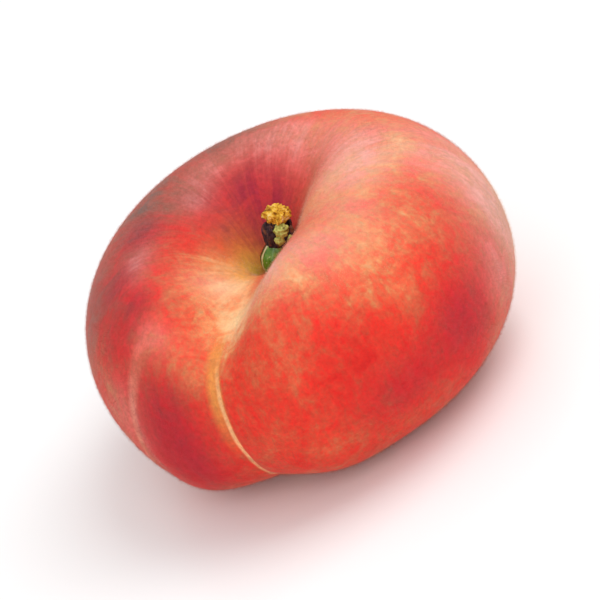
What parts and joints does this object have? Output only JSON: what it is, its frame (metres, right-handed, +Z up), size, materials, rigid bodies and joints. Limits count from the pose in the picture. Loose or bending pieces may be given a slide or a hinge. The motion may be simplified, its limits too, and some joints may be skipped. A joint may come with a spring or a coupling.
{
  "type": "flat peach",
  "caption": "Ripe flat peach with a deep stem cavity, a suture between two lobes and a short woody stem, lying on its blossom end.",
  "frame": {"origin": "middle of the underside, in the plane that the fruit rests on", "axes": "+Z up along the fruit's axis to the stem end; the suture faces -Y; +X to the right of it"},
  "size_m": [0.0718, 0.0716, 0.0403],
  "materials": {
    "peach_skin": "matte red skin mottled with orange and yellow, under fine down",
    "peach_down": "very fine pale down",
    "stem_green": "smooth green wood with a soft shine",
    "stem_bark": "dry dark brown bud scales",
    "stem_cork": "crumbly yellow cork"
  },
  "bodies": {
    "root": {"fruit": "peach_skin", "stem": "stem_green"}
  },
  "joints": []
}
